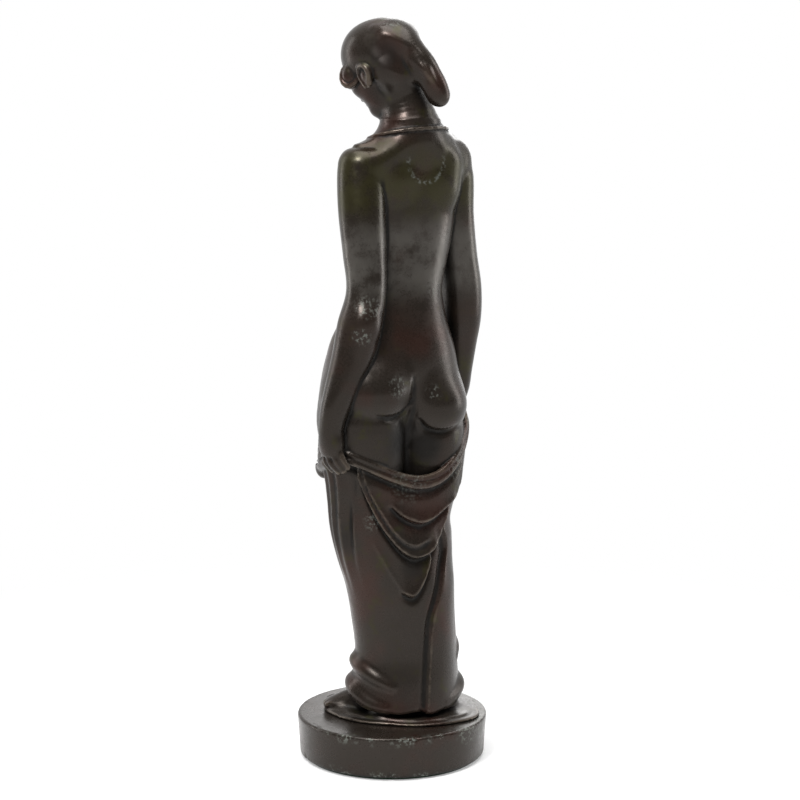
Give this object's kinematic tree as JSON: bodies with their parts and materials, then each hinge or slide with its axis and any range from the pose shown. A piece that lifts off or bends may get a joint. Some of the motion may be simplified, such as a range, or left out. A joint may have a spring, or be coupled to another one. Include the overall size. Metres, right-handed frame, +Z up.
{
  "type": "bronze statuette",
  "caption": "Dark bronze statuette of a standing figure, head bowed, cloth gathered below the hips, on a round base.",
  "frame": {"origin": "centre of the underside, on the face it rests on", "axes": "+Z up; the figure faces -Y and its left side is +X"},
  "size_m": [0.1052, 0.1, 0.3848],
  "materials": {
    "cast_bronze": "dark brown-black patina, satin, green tints",
    "cloth_bronze": "dark brown patina, satin, worn red-brown on ridges",
    "base_bronze": "dark patina, chipped rim, grey-green bloom",
    "fixing_steel": "plain",
    "felt": "dark green felt"
  },
  "bodies": {
    "root": {"base": "base_bronze", "ground_plate": "base_bronze", "left_foot": "cast_bronze", "right_foot": "cast_bronze", "skirt": "cloth_bronze", "cloth_band_back": "cloth_bronze", "cloth_band_front": "cloth_bronze", "cloth_gather": "cloth_bronze", "torso": "cast_bronze", "left_arm": "cast_bronze", "right_arm": "cast_bronze", "head": "cast_bronze", "hair_roll": "cast_bronze", "hair_curl": "cast_bronze", "necklace": "cast_bronze", "mounting_bar": "fixing_steel", "washer_1": "fixing_steel", "washer_2": "fixing_steel", "base_bolt_1": "fixing_steel", "base_bolt_2": "fixing_steel", "neck_pin": "fixing_steel", "left_shoulder_pin": "fixing_steel", "right_shoulder_pin": "fixing_steel", "hip_pin_1": "fixing_steel", "hip_pin_2": "fixing_steel", "hip_pin_3": "fixing_steel", "felt_pad": "felt"}
  },
  "joints": []
}
